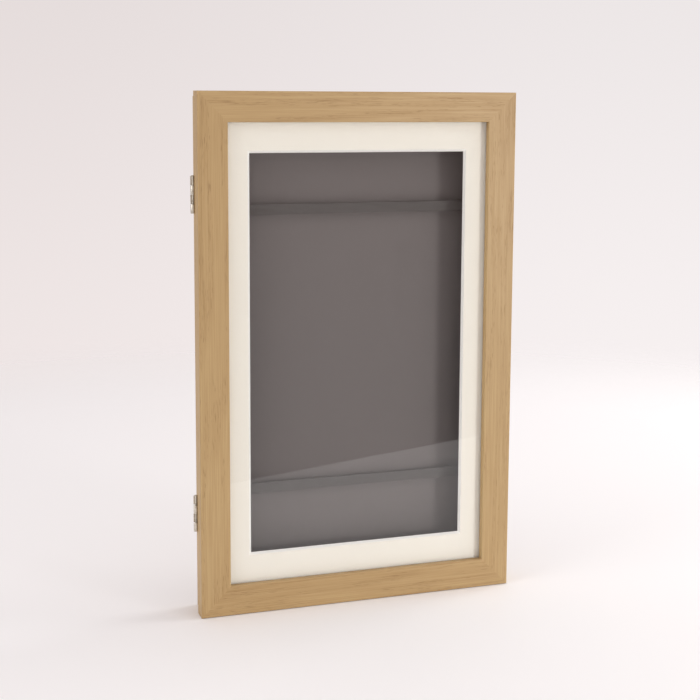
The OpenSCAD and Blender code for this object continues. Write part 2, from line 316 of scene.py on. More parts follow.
@dataclass(frozen=True)
class OakFinish:
    """Light oak-grain foil with fine fibres and open pores.

    lined_box is the half width, the middle height and the half height of the case's inside, and
    faces inside it are covered in the dark lining colour.
    """

    name: str
    along: Axis
    light: Colour = srgb(184, 156, 110)
    middle: Colour = srgb(175, 145, 99)
    dark: Colour = srgb(159, 127, 82)
    pore: Colour = srgb(129, 97, 60)
    lined_box: Optional[Point] = None
    lining: Colour = srgb(112, 106, 103)

    def material(self) -> bpy.types.Material:
        """Builds the material."""
        sheet, material = ShaderSheet.for_material(self.name)
        fibres = sheet.noise(self.along.stretch(1250, 20), detail=3, rough=0.65)
        figure = sheet.noise(self.along.stretch(70, 3.2), shift=(3, 5, 1), detail=1, warp=0.35)
        rings = (figure * 46).wave()
        drift = sheet.noise(self.along.stretch(26, 2.4), shift=(9, 2, 4), detail=2)
        pores = sheet.noise(self.along.stretch(2300, 130), shift=(1, 7, 3), detail=1)
        pore_mask = pores.ramp(0.60, 0.69) * rings.ramp(0.15, 0.75)
        grain = fibres.ramp(0.30, 0.72) * 0.62 + rings * 0.20 + drift.ramp(0.3, 0.7) * 0.28
        tone = sheet.blend(grain.ramp(0.05, 0.55), self.light, self.middle)
        tone = sheet.blend(grain.ramp(0.55, 1.15), tone, self.dark)
        tone = sheet.blend(pore_mask * 0.45, tone, self.pore)
        gloss = fibres * 0.16 + pore_mask * 0.15 + 0.36
        relief = fibres * 0.35 + rings * 0.15 - pore_mask * 0.6
        if self.lined_box:
            mask = sheet.beyond(self.lined_box).ramp(0.12 * MM, 0.04 * MM)
            tone = sheet.blend(mask, tone, self.lining)
            gloss = gloss + mask * 0.4
        sheet.output(sheet.surface(
            Base_Color=tone,
            Roughness=gloss,
            Normal=sheet.bump(relief, 0.05 * MM, 0.55),
            Specular_IOR_Level=0.45,
        ))
        return material


@dataclass(frozen=True)
class CardFinish:
    """Uncoated card with a fine tooth and a white core that shows on a bevelled window.

    window is the half width, the middle height and the half height of the cut, and its bevel
    shows the core.
    """

    name: str
    face: Colour
    core: Colour
    tooth: float = 0.02
    window: Optional[Point] = None

    def material(self) -> bpy.types.Material:
        """Builds the material."""
        sheet, material = ShaderSheet.for_material(self.name)
        fleck = sheet.noise((1700, 1700, 1700), detail=3, rough=0.6)
        cloud = sheet.noise((34, 34, 34), detail=2)
        tint = (fleck - 0.5) * 0.10 + (cloud - 0.5) * 0.07 + 0.5
        deep = tuple(channel * 0.86 for channel in self.face)
        bright = tuple(min(channel * 1.10, 0.95) for channel in self.face)
        tone = sheet.blend(tint, deep, bright)
        if self.window:
            bevel = sheet.beyond(self.window).ramp(1.7 * MM, 1.4 * MM)
            tone = sheet.blend(bevel, tone, self.core)
        sheet.output(sheet.surface(
            Base_Color=tone,
            Roughness=fleck * 0.1 + 0.82,
            Normal=sheet.bump(fleck, self.tooth * MM, 0.5),
            Specular_IOR_Level=0.25,
        ))
        return material


@dataclass(frozen=True)
class GlazingFinish:
    """A thin clear sheet: seen through, with a gloss that grows towards a slanting view."""

    name: str = "clear_sheet"
    square_on: float = 0.033
    tint: Colour = (0.995, 1.0, 0.998)

    def material(self) -> bpy.types.Material:
        """Builds the material."""
        sheet, material = ShaderSheet.for_material(self.name)
        slant = sheet.node("ShaderNodeLayerWeight", inputs={"Blend": 0.5}).outputs["Facing"]
        shine = Value(sheet, slant) ** 5 * (1 - self.square_on) + self.square_on
        clear = sheet.node("ShaderNodeBsdfTransparent", inputs={"Color": self.tint}).outputs[0]
        gloss = sheet.node(
            "ShaderNodeBsdfGlossy", inputs={"Color": (1.0, 1.0, 1.0), "Roughness": 0.012}
        ).outputs[0]
        mixed = sheet.node("ShaderNodeMixShader", inputs={0: shine, 1: clear, 2: gloss})
        sheet.output(mixed.outputs[0])
        return material


@dataclass(frozen=True)
class MetalFinish:
    """Plated steel, drawn or tumbled, with fine scratches and dull patches."""

    name: str
    tone: Colour
    dull: Colour
    rough: float = 0.36
    along: Axis = Axis.UPRIGHT
    scratch: float = 0.01

    def material(self) -> bpy.types.Material:
        """Builds the material."""
        sheet, material = ShaderSheet.for_material(self.name)
        brush = sheet.noise(self.along.stretch(9000, 500), detail=2)
        patch = sheet.noise((420, 420, 420), detail=3, rough=0.6)
        tone = sheet.blend(patch.ramp(0.42, 0.66) * 0.7, self.tone, self.dull)
        sheet.output(sheet.surface(
            Base_Color=tone,
            Metallic=1.0,
            Roughness=brush * 0.16 + patch * 0.14 + (self.rough - 0.14),
            Normal=sheet.bump(brush, self.scratch * MM, 0.35),
        ))
        return material


@dataclass(frozen=True)
class ElasticFinish:
    """Dark grey woven elastic: fine ribs along the band, crossed by the weft."""

    name: str = "woven_elastic"
    tone: Colour = srgb(84, 80, 79)
    thread: Colour = srgb(110, 106, 104)

    def material(self) -> bpy.types.Material:
        """Builds the material."""
        sheet, material = ShaderSheet.for_material(self.name)
        side, depth, height = sheet.axes()
        rib = (height * (2 * math.pi / (0.8 * MM))).wave()
        weft = ((side + depth) * (2 * math.pi / (0.55 * MM))).wave()
        fuzz = sheet.noise((2500, 2500, 2500), detail=2)
        weave = rib * 0.55 + weft * 0.35 * rib + fuzz * 0.3
        sheet.output(sheet.surface(
            Base_Color=sheet.blend(weave.ramp(0.3, 1.1), self.tone, self.thread),
            Roughness=fuzz * 0.15 + 0.75,
            Normal=sheet.bump(weave, 0.12 * MM, 0.7),
            Sheen_Weight=0.25,
            Sheen_Roughness=0.5,
        ))
        return material


@dataclass(frozen=True)
class HardboardFinish:
    """Brown hardboard: fine chips and fibres, darker in cloudy patches."""

    name: str = "hardboard"
    tone: Colour = srgb(134, 100, 68)
    chip: Colour = srgb(172, 134, 96)
    shade: Colour = srgb(104, 76, 51)

    def material(self) -> bpy.types.Material:
        """Builds the material."""
        sheet, material = ShaderSheet.for_material(self.name)
        fibres = sheet.noise((1900, 1900, 700), detail=3, warp=1.5, rough=0.7)
        chips = sheet.cells((700, 700, 420))
        cloud = sheet.noise((22, 22, 22), detail=3)
        tone = sheet.blend(fibres.ramp(0.35, 0.75), self.tone, self.chip)
        tone = sheet.blend(chips.ramp(0.25, 0.05) * 0.5, tone, self.shade)
        tone = sheet.blend(cloud.ramp(0.35, 0.75) * 0.14, tone, self.shade)
        sheet.output(sheet.surface(
            Base_Color=tone,
            Roughness=fibres * 0.2 + 0.55,
            Normal=sheet.bump(fibres, 0.06 * MM, 0.5),
        ))
        return material


@dataclass(frozen=True)
class RubberFinish:
    """Clear-grey bumper rubber with a soft gloss."""

    name: str = "bumper_rubber"
    tone: Colour = srgb(196, 197, 192)

    def material(self) -> bpy.types.Material:
        """Builds the material."""
        sheet, material = ShaderSheet.for_material(self.name)
        dust = sheet.noise((1500, 1500, 1500), detail=3)
        deep = tuple(channel * 0.8 for channel in self.tone)
        sheet.output(sheet.surface(
            Base_Color=sheet.blend(dust.ramp(0.35, 0.7), self.tone, deep),
            Roughness=dust * 0.25 + 0.22,
            Normal=sheet.bump(dust, 0.01 * MM, 0.4),
            Subsurface_Weight=0.2,
            Subsurface_Scale=1.0 * MM,
        ))
        return material


def dress(node: str, material: bpy.types.Material) -> None:
    """Gives a CAD node its finish.

    Args:
        node: the node's name.
        material: the finish.
    """
    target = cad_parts[node]
    for place in target.material_slots:
        place.material = material
    LOG.info("dressed %s in %s", node, material.name)


# ---------------------------------------------------------------- modelling


def facing(way: Point) -> Callable[[Vector, Vector], bool]:
    """A test for the faces that look one way."""
    return lambda at, normal: normal.dot(Vector(way)) > ALONG


class Workpiece:
    """A mesh modelled with Blender's own tools, its place held in the mesh."""

    def __init__(self, made: bpy.types.Object, name: str) -> None:
        """Names a new object and puts its place into its mesh."""
        self.made = made
        made.name = made.data.name = name
        bpy.ops.object.transform_apply(location=True, rotation=True, scale=True)

    @staticmethod
    def clear_bench() -> None:
        """Leaves edit mode and selects nothing."""
        if bpy.context.object and bpy.context.object.mode != "OBJECT":
            bpy.ops.object.mode_set(mode="OBJECT")
        bpy.ops.object.select_all(action="DESELECT")

    @classmethod
    def block(cls, name: str, low: Point, high: Point) -> "Workpiece":
        """Starts from a block.

        Args:
            name: the piece's name.
            low: its lowest corner.
            high: its highest corner.

        Returns:
            The piece.
        """
        cls.clear_bench()
        low, high = Vector(low), Vector(high)
        bpy.ops.mesh.primitive_cube_add(size=1.0, location=(low + high) / 2, scale=high - low)
        return cls(bpy.context.object, name)

    @classmethod
    def rod(
        cls, name: str, foot: Point, way: Point, radius: float, length: float, sides: int = 24
    ) -> "Workpiece":
        """Starts from a round rod.

        Args:
            name: the piece's name.
            foot: the middle of the end that it grows from.
            way: the direction that it grows in.
            radius: its radius.
            length: its length.
            sides: how many flats stand for its round.

        Returns:
            The piece.
        """
        cls.clear_bench()
        turn = Vector(way).to_track_quat("Z", "Y").to_euler()
        middle = Vector(foot) + Vector(way).normalized() * length / 2
        bpy.ops.mesh.primitive_cylinder_add(
            vertices=sides, radius=radius, depth=length, location=middle, rotation=turn
        )
        return cls(bpy.context.object, name)

    def _open(self, kind: str) -> bmesh.types.BMesh:
        """Enters edit mode with nothing selected, and gives the mesh to select in."""
        if bpy.context.object is not self.made or self.made.mode != "EDIT":
            self.clear_bench()
            bpy.context.view_layer.objects.active = self.made
            self.made.select_set(True)
            bpy.ops.object.mode_set(mode="EDIT")
        bpy.ops.mesh.select_mode(type=kind)
        bpy.ops.mesh.select_all(action="DESELECT")
        return bmesh.from_edit_mesh(self.made.data)

    def everything(self) -> "Workpiece":
        """Selects the whole mesh."""
        self._open("FACE")
        bpy.ops.mesh.select_all(action="SELECT")
        return self

    def faces(self, test: Callable[[Vector, Vector], bool]) -> "Workpiece":
        """Selects the faces whose middle and normal pass a test."""
        net = self._open("FACE")
        for face in net.faces:
            if test(face.calc_center_median(), face.normal):
                face.select_set(True)
        bmesh.update_edit_mesh(self.made.data)
        return self

    def edges(self, test: Callable[[Vector, Vector], bool]) -> "Workpiece":
        """Selects the edges whose middle and direction pass a test."""
        net = self._open("EDGE")
        for edge in net.edges:
            first, second = (corner.co for corner in edge.verts)
            if test((first + second) / 2, (second - first).normalized()):
                edge.select_set(True)
        bmesh.update_edit_mesh(self.made.data)
        return self

    def corners(self, test: Callable[[Vector], bool]) -> "Workpiece":
        """Selects the corners whose place passes a test."""
        net = self._open("VERT")
        for corner in net.verts:
            if test(corner.co):
                corner.select_set(True)
        bmesh.update_edit_mesh(self.made.data)
        return self

    def extrude(self, by: Point, taper: Optional[Point] = None) -> "Workpiece":
        """Grows the selected faces, which stay selected.

        Args:
            by: how far they move.
            taper: how much they are resized about their own middle afterwards, if at all.

        Returns:
            The piece.
        """
        bpy.ops.mesh.extrude_region_move(TRANSFORM_OT_translate={"value": by})
        return self.resize(taper) if taper else self

    def build_up(self, by: Point, rings: tuple[tuple[float, float], ...]) -> "Workpiece":
        """Grows the selected faces in rings, each resized about its own middle.

        Args:
            by: the whole growth, along one axis.
            rings: each ring's part of the growth, and its size beside the ring before.

        Returns:
            The piece.
        """
        for part, size in rings:
            self.extrude(tuple(step * part for step in by), tuple(1 if step else size for step in by))
        return self

    def move(self, by: Point) -> "Workpiece":
        """Moves what is selected."""
        bpy.ops.transform.translate(value=by)
        return self

    def resize(self, by: Point, about: Optional[Point] = None) -> "Workpiece":
        """Resizes what is selected about a point, or about its own middle."""
        if about is None:
            net = bmesh.from_edit_mesh(self.made.data)
            chosen = [corner.co for corner in net.verts if corner.select]
            about = sum(chosen, Vector()) / len(chosen)
        bpy.ops.transform.resize(value=by, center_override=about)
        return self

    def inset(self, rim: float, depth: float = 0.0) -> "Workpiece":
        """Insets the selected faces by a rim, and sinks or raises them by a depth."""
        bpy.ops.mesh.inset(thickness=rim, depth=depth)
        return self

    def round_off(self, radius: float, steps: int = 3) -> "Workpiece":
        """Bevels the selected edges round."""
        bpy.ops.mesh.bevel(offset=radius, segments=steps, affect="EDGES")
        return self

    def spin(self, angle: float, centre: Point, axis: Point, steps: int = 8) -> "Workpiece":
        """Sweeps the selected faces round an axis.

        Args:
            angle: how far, in radians.
            centre: a point on the axis.
            axis: the axis' direction.
            steps: how many steps the sweep takes.

        Returns:
            The piece.
        """
        bpy.ops.mesh.spin(steps=steps, angle=angle, center=centre, axis=axis)
        return self

    def slice(self, at: Point, across: Point) -> "Workpiece":
        """Cuts new edges all round where a plane meets the piece."""
        self.everything()
        bpy.ops.mesh.bisect(plane_co=at, plane_no=across)
        return self

    def modifier(self, kind: str, **settings: Any) -> "Workpiece":
        """Adds a modifier with its settings and applies it."""
        self.clear_bench()
        bpy.context.view_layer.objects.active = self.made
        self.made.select_set(True)
        added = self.made.modifiers.new(kind.lower(), kind)
        for name, setting in settings.items():
            setattr(added, name, setting)
        bpy.ops.object.modifier_apply(modifier=added.name)
        return self

    def cut(self, *tools: "Workpiece") -> "Workpiece":
        """Cuts other pieces' shapes out of this one and throws those away."""
        for tool in tools:
            self.modifier("BOOLEAN", object=tool.made, operation="DIFFERENCE", solver="EXACT")
            bpy.data.objects.remove(tool.made)
        return self

    def ease(self, radius: float, steps: int = 2, angle: float = 35.0) -> "Workpiece":
        """Rounds every edge that is sharper than an angle in degrees."""
        return self.modifier(
            "BEVEL", width=radius, segments=steps, limit_method="ANGLE",
            angle_limit=math.radians(angle), use_clamp_overlap=True,
        )

    def copy(self, name: str, place: Matrix) -> "Workpiece":
        """Copies the piece with a mesh of its own.

        Args:
            name: the copy's name.
            place: where it goes, as a turn and a move of the mesh.

        Returns:
            The copy.
        """
        self.clear_bench()
        twin = self.made.copy()
        twin.data = self.made.data.copy()
        twin.data.transform(place)
        bpy.context.collection.objects.link(twin)
        bpy.context.view_layer.objects.active = twin
        return Workpiece(twin, name)

    def finish(self, body: Body, slot: str, material: bpy.types.Material, *nodes: str) -> None:
        """Smooths the piece, gives it its finish and hangs it on its body.

        Args:
            body: the body that it rides on.
            slot: not used.
            material: the finish.
            nodes: the CAD nodes that it stands for.
        """
        self.everything()
        bpy.ops.mesh.remove_doubles(threshold=0.001 * MM)
        bpy.ops.mesh.normals_make_consistent(inside=False)
        if bmesh.from_edit_mesh(self.made.data).calc_volume(signed=True) < 0:
            bpy.ops.mesh.flip_normals()
        self.clear_bench()
        self.made.select_set(True)
        bpy.context.view_layer.objects.active = self.made
        bpy.ops.object.shade_smooth_by_angle(angle=math.radians(38))
        self.made.data.materials.clear()
        self.made.data.materials.append(material)
        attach(self.made, body.value)
        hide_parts(*nodes)
        LOG.info("made %s on %s: %d faces", self.made.name, body.value, len(self.made.data.polygons))


# ---------------------------------------------------------------- studio


@dataclass(frozen=True)
class Lamp:
    """A square soft light.

    at is its middle, to is what it points at, side is in metres and power in watts.
    """

    name: str
    at: Point
    to: Point
    side: float
    power: float
    tone: Colour

    def hang(self) -> None:
        """Adds the light to the scene."""
        data = bpy.data.lights.new(self.name, "AREA")
        data.size = self.side
        data.energy = self.power
        data.color = self.tone
        lamp = bpy.data.objects.new(self.name, data)
        bpy.context.collection.objects.link(lamp)
        lamp.location = self.at
        beam = Vector(self.to) - Vector(self.at)
        lamp.rotation_euler = beam.to_track_quat("-Z", "Y").to_euler()


@dataclass
class Studio:
    """Camera, lights, pale floor and a glowing dark card, none of which is part of the object."""

    lamps: tuple[Lamp, ...] = (
        Lamp("key", (1.5, 0.04, 0.95), (0, 0, 0.1), 1.25, 15.0, (1.0, 0.99, 0.98)),
        Lamp("front", (1.12, -1.66, 0.24), (0, 0, 0.18), 0.4, 12.0, (1.0, 0.98, 0.96)),
        Lamp("fill", (-1.9, -0.5, 0.8), (-0.2, 0, 0.15), 1.3, 12.0, (1.0, 1.0, 1.0)),
    )
    lens: float = 72.0
    sensor: float = 36.0
    camera_at: Point = (-0.3194, -0.9272, 0.3549)
    yaw: float = math.radians(18.93)
    pitch: float = math.radians(7.563)
    roll: float = math.radians(0.273)
    shift_y: float = -0.0929
    floor_radius: float = 1.15
    floor_solid: float = 0.65
    floor_tone: Colour = srgb(250, 250, 251)
    sky_left: Colour = srgb(239, 230, 229)
    sky_right: Colour = srgb(247, 241, 241)
    sky_turn: tuple[float, float] = (0.05, 0.55)
    sky_climb: tuple[float, float] = (-0.22, 0.14)
    sky_fall: float = 0.90
    sky_light: float = 0.78
    card_ahead: float = 0.657
    card_aside: float = 0.58
    card_w: float = 1.04
    card_h: float = 1.5
    card_climb: tuple[float, float] = (0.02, 0.5)
    # the card's emitted colour, darker low down and lighter higher up: a painted reflection for the
    # glazing
    card_glow_low: Colour = srgb(52, 46, 45)
    card_glow_high: Colour = srgb(150, 118, 108)

    def aim(self) -> Matrix:
        """The camera's turn: its right, up and backward axes in columns."""
        ahead = Vector((
            math.sin(self.yaw) * math.cos(self.pitch),
            math.cos(self.yaw) * math.cos(self.pitch),
            -math.sin(self.pitch),
        ))
        level = ahead.cross(Vector(UP)).normalized()
        rise = level.cross(ahead)
        right = level * math.cos(self.roll) + rise * math.sin(self.roll)
        up = rise * math.cos(self.roll) - level * math.sin(self.roll)
        return Matrix((right, up, -ahead)).transposed().to_4x4()

    def camera(self) -> None:
        """Places the camera at the viewing angle."""
        data = bpy.data.cameras.new("view_camera")
        data.lens = self.lens
        data.sensor_width = self.sensor
        data.shift_y = self.shift_y
        data.clip_start = 0.01
        data.clip_end = 50.0
        camera = bpy.data.objects.new("view_camera", data)
        bpy.context.collection.objects.link(camera)
        camera.matrix_world = Matrix.Translation(self.camera_at) @ self.aim()
        bpy.context.scene.camera = camera

    def floor(self) -> None:
        """Makes the pale floor, which fades out into the backdrop."""
        bpy.ops.object.select_all(action="DESELECT")
        bpy.ops.mesh.primitive_circle_add(
            vertices=96, radius=self.floor_radius, fill_type="NGON", location=(0, 0, 0)
        )
        floor = bpy.context.object
        floor.name = "floor"
        sheet, material = ShaderSheet.for_material("pale_floor")
        side, depth, _ = sheet.axes()
        away = (side * side + depth * depth) ** 0.5
        paint = sheet.surface(Base_Color=self.floor_tone, Roughness=0.62, Specular_IOR_Level=0.3)
        nothing = sheet.node("ShaderNodeBsdfTransparent").outputs[0]
        fade = away.ramp(self.floor_solid, self.floor_radius)
        faded = sheet.node("ShaderNodeMixShader", inputs={0: fade, 1: paint, 2: nothing})
        sheet.output(faded.outputs[0])
        floor.data.materials.append(material)

    def sky(self) -> None:
        """Lights the room softly, with a backdrop that is darker higher up and warmer at the left."""
        world = bpy.data.worlds.new("studio")
        bpy.context.scene.world = world
        world.use_nodes = True
        sheet = ShaderSheet(world.node_tree)
        way = sheet.node("ShaderNodeTexCoord").outputs["Generated"]
        parts = sheet.node("ShaderNodeSeparateXYZ", inputs={0: way}).outputs
        side, height = Value(sheet, parts[0]), Value(sheet, parts[2])
        tone = sheet.blend(side.ramp(*self.sky_turn), self.sky_left, self.sky_right)
        seen = Value(sheet, sheet.node("ShaderNodeLightPath").outputs["Is Camera Ray"])
        backdrop = 1 - height.ramp(*self.sky_climb) * (1 - self.sky_fall)
        strength = backdrop * seen + (1 - seen) * self.sky_light
        glow = sheet.node("ShaderNodeBackground", inputs={"Color": tone, "Strength": strength})
        sheet.output(glow.outputs[0], "ShaderNodeOutputWorld")

    def flag(self) -> None:
        """Stands a glowing dark card at the right of the camera, which is seen only in reflections: its
        emitted colour, darker low down and lighter higher up, is a painted reflection in the glazing.
        """
        ahead = Vector((math.sin(self.yaw), math.cos(self.yaw), 0))
        level = Vector((math.cos(self.yaw), -math.sin(self.yaw), 0))
        foot = Vector(self.camera_at) + ahead * self.card_ahead + level * self.card_aside
        bpy.ops.object.select_all(action="DESELECT")
        bpy.ops.mesh.primitive_plane_add(
            size=1.0, location=(foot.x, foot.y, self.card_h / 2), rotation=(math.pi / 2, 0, -self.yaw)
        )
        card = bpy.context.object
        card.name = "dark_card"
        card.scale = (self.card_w, self.card_h, 1.0)
        bpy.ops.object.transform_apply(location=True, rotation=True, scale=True)
        sheet, material = ShaderSheet.for_material("dark_card")
        _, _, height = sheet.axes()
        # The card gives off its own light, darker low down and lighter higher up; the glazing shows it
        # as a painted reflection.
        tone = sheet.blend(height.ramp(*self.card_climb), self.card_glow_low, self.card_glow_high)
        sheet.output(sheet.node("ShaderNodeEmission", inputs={"Color": tone}).outputs[0])
        card.data.materials.append(material)
        for sight in ("camera", "diffuse", "shadow", "transmission", "volume_scatter"):
            setattr(card, f"visible_{sight}", False)

    def build(self) -> None:
        """Sets the whole studio up."""
        self.camera()
        self.floor()
        self.sky()
        self.flag()
        for lamp in self.lamps:
            lamp.hang()
        bpy.context.scene.view_settings.view_transform = "Standard"


# ---------------------------------------------------------------- sub-assemblies


class Paintbox:
    """Every finish of the frame, made once."""

    window_w = 156 * MM
    window_h = 277 * MM

    def __init__(self) -> None:
        """Makes the finishes, some of which need to know where pieces end."""
        left, top, base = (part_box(f"case_{side}_side") for side in ("left", "top", "bottom"))
        inside = (abs(left[1][0]), (top[0][2] + base[1][2]) / 2, (top[0][2] - base[1][2]) / 2)
        self.oak_upright = OakFinish("oak_upright", Axis.UPRIGHT).material()
        self.oak_level = OakFinish("oak_level", Axis.ACROSS).material()
        self.case_upright = OakFinish("oak_case_upright", Axis.UPRIGHT, lined_box=inside).material()
        self.case_level = OakFinish("oak_case_level", Axis.ACROSS, lined_box=inside).material()
        low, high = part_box("mat_board")
        window = (self.window_w / 2, (low[2] + high[2]) / 2, self.window_h / 2)
        self.mat = CardFinish(
            "mat_card", srgb(246, 238, 228), srgb(251, 249, 245), window=window
        ).material()
        self.lining = CardFinish("lining_card", srgb(118, 112, 111), srgb(118, 112, 111)).material()
        self.clear = GlazingFinish().material()
        self.board = HardboardFinish().material()
        self.elastic = ElasticFinish().material()
        self.rubber = RubberFinish().material()
        self.nickel = MetalFinish("nickel_plate", srgb(214, 208, 196), srgb(176, 168, 154)).material()
        self.zinc = MetalFinish("zinc_plate", srgb(178, 180, 182), srgb(140, 141, 143)).material()
        self.magnet = MetalFinish("magnet_plate", srgb(200, 201, 203), srgb(168, 169, 171)).material()


@dataclass
class Door:
    """The glazed door: four mitred bars, the clear sheet, the mat and what holds them."""

    paint: Paintbox
    tab_len: float = 11 * MM
    tab_w: float = 6 * MM
    tab_knee: float = 0.12
    tab_lip: float = 0.25
    tab_sag: float = 0.12 * MM
    tab_curl: float = 0.9 * MM
    sheet_w: float = 199.6 * MM
    sheet_h: float = 329.3 * MM
    disc_r: float = 3.5 * MM

    def dress(self) -> None:
        """Gives the bars, the sheet and the mat their finishes."""
        for side in ("left_stile", "right_stile"):
            dress(f"door_{side}", self.paint.oak_upright)
        for side in ("top_rail", "bottom_rail"):
            dress(f"door_{side}", self.paint.oak_level)
        dress("mat_board", self.paint.mat)
        dress("glazing", self.paint.clear)
        dress("door_corner_wedges", self.paint.zinc)

    def tabs(self) -> None:
        """Models one pressed retainer tab and sets copies of it round the rebate."""
        low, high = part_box("mat_retainers")
        reach, base = high[0] - self.tab_len / 2, low[1]
        thick, mid = high[1] - low[1], (low[2] + high[2]) / 2
        tab = Workpiece.block(
            "tab",
            (reach - self.tab_len / 2, base, -self.tab_w / 2),
            (reach + self.tab_len / 2, base + thick, self.tab_w / 2),
        )
        knee, lip = reach - self.tab_len * self.tab_knee, reach - self.tab_len * self.tab_lip
        tab.slice((knee, 0, 0), RIGHT).slice((lip, 0, 0), RIGHT)
        tab.edges(lambda at, way: abs(way.y) > ALONG and at.x < lip - NEAR)
        tab.round_off(self.tab_w * 0.4, 5)
        tab.corners(lambda at: at.x < lip + NEAR).move((0, self.tab_curl, 0))
        tab.corners(lambda at: abs(at.x - knee) < NEAR).move((0, self.tab_sag, 0))
        tab.ease(0.1 * MM)
        half_w, half_h = reach, (high[2] - low[2]) / 2 - self.tab_len / 2
        places = [(quarter, along) for quarter in (0, 2) for along in (-1 / 3, 0, 1 / 3)]
        places += [(quarter, along) for quarter in (1, 3) for along in (-1 / 4, 1 / 4)]
        for count, (quarter, along) in enumerate(places, 1):
            upright = quarter % 2 == 0
            run, out = (self.sheet_h, half_w) if upright else (self.sheet_w, half_h)
            turned = (
                Matrix.Translation((0, 0, mid))
                @ Matrix.Rotation(quarter * math.pi / 2, 4, "Y")
                @ Matrix.Translation((out - reach, 0, along * run))
            )
            tab.copy(f"mat_retainer_{count}", turned).finish(
                Body.DOOR, "zinc", self.paint.zinc, "mat_retainers"
            )
        bpy.data.objects.remove(tab.made)

    def discs(self) -> None:
        """Models one cupped strike disc and sets it and its twin in the right stile."""
        low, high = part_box("strike_discs")
        across, thick = (low[0] + high[0]) / 2, high[1] - low[1]
        disc = Workpiece.rod(
            "strike_disc_1", (across, low[1], low[2] + self.disc_r), BACK, self.disc_r, thick, 48
        )
        disc.faces(facing(BACK))
        for rim, depth in ((0.5, 0), (0.15, -0.08), (1.5, 0), (0.5, -0.28)):
            disc.inset(rim * MM, depth * MM)
        disc.ease(0.08 * MM)
        rise = high[2] - low[2] - 2 * self.disc_r
        disc.copy("strike_disc_2", Matrix.Translation((0, 0, rise))).finish(
            Body.DOOR, "zinc", self.paint.zinc, "strike_discs"
        )
        disc.finish(Body.DOOR, "zinc", self.paint.zinc, "strike_discs")

    def build(self) -> None:
        """Dresses and models the door's pieces."""
        self.dress()
        self.tabs()
        self.discs()


@dataclass
class Case:
    """The storage case: four sides round a lined back, with its catch and buffers."""

    paint: Paintbox
    magnet_r: float = 2.5 * MM
    pad_r: float = 2.5 * MM
    brad_r: float = 0.5 * MM
    brad_head_r: float = 1.0 * MM
    brad_point: float = 1.2 * MM
    panel_w: float = 217.4 * MM
    panel_h: float = 350.9 * MM

    def dress(self) -> None:
        """Gives the sides, the back and the lining their finishes."""
        for side in ("left", "right"):
            dress(f"case_{side}_side", self.paint.case_upright)
        for side in ("top", "bottom"):
            dress(f"case_{side}_side", self.paint.case_level)
        dress("lining_card", self.paint.lining)
        dress("back_panel", self.paint.board)
        dress("case_corner_wedges", self.paint.zinc)

    def magnets(self) -> None:
        """Models one plated magnet and sets it and its twin in the right side's front edge."""
        low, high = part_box("catch_magnets")
        across, thick = (low[0] + high[0]) / 2, high[1] - low[1]
        magnet = Workpiece.rod(
            "catch_magnet_1", (across, high[1], low[2] + self.magnet_r), FRONT, self.magnet_r, thick, 48
        )
        magnet.faces(facing(FRONT))
        for rim, depth in ((0.45, 0), (0.12, -0.10), (0.12, 0.08)):
            magnet.inset(rim * MM, depth * MM)
        magnet.ease(0.1 * MM)
        rise = high[2] - low[2] - 2 * self.magnet_r
        magnet.copy("catch_magnet_2", Matrix.Translation((0, 0, rise))).finish(
            Body.CASE, "magnet", self.paint.magnet, "catch_magnets"
        )
        magnet.finish(Body.CASE, "magnet", self.paint.magnet, "catch_magnets")

    def pads(self) -> None:
        """Models one domed buffer and sets four in the corners of the case's front edge."""
        low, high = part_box("bumper_pads")
        thick = high[1] - low[1]
        pad = Workpiece.rod(
            "bumper_pad_1", (low[0] + self.pad_r, high[1], low[2] + self.pad_r), FRONT,
            self.pad_r, thick * 0.3, 40,
        )
        pad.faces(facing(FRONT))
        pad.build_up((0, -thick, 0), ((0.28, 0.93), (0.22, 0.82), (0.14, 0.66), (0.06, 0.45)))
        wide = high[0] - low[0] - 2 * self.pad_r
        tall = high[2] - low[2] - 2 * self.pad_r
        for count, (side, up) in enumerate(((1, 0), (0, 1), (1, 1)), 2):
            pad.copy(f"bumper_pad_{count}", Matrix.Translation((side * wide, 0, up * tall))).finish(
                Body.CASE, "pad", self.paint.rubber, "bumper_pads"
            )
        pad.finish(Body.CASE, "pad", self.paint.rubber, "bumper_pads")

    def brads(self) -> None:
        """Models one brad and drives copies of it round the back panel's edge."""
        low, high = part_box("back_brads")
        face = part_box("back_panel")[1][1]
        shank, head = face - low[1] - self.brad_point, high[1] - face
        brad = Workpiece.rod("brad", (0, face, 0), FRONT, self.brad_r, shank, 16)
        brad.faces(facing(FRONT)).extrude((0, -self.brad_point, 0), (0.15, 1, 0.15))
        wide = self.brad_head_r / self.brad_r
        brad.faces(facing(BACK)).extrude((0, 0, 0), (wide, 1, wide))
        brad.build_up((0, head, 0), ((0.45, 1.0), (0.38, 0.78), (0.17, 0.5)))
        half_w, half_h = high[0] - self.brad_head_r, (high[2] - low[2]) / 2 - self.brad_head_r
        mid = (low[2] + high[2]) / 2
        spots = [(side * half_w, step * self.panel_h / 3) for side in (-1, 1) for step in (-1, 0, 1)]
        spots += [(step * self.panel_w / 4, up * half_h) for up in (-1, 1) for step in (-1, 1)]
        for count, (across, up) in enumerate(spots, 1):
            brad.copy(f"back_brad_{count}", Matrix.Translation((across, 0, mid + up))).finish(
                Body.CASE, "zinc", self.paint.zinc, "back_brads"
            )
        bpy.data.objects.remove(brad.made)

    def build(self) -> None:
        """Dresses and models the case's pieces."""
        self.dress()
        self.magnets()
        self.pads()
        self.brads()


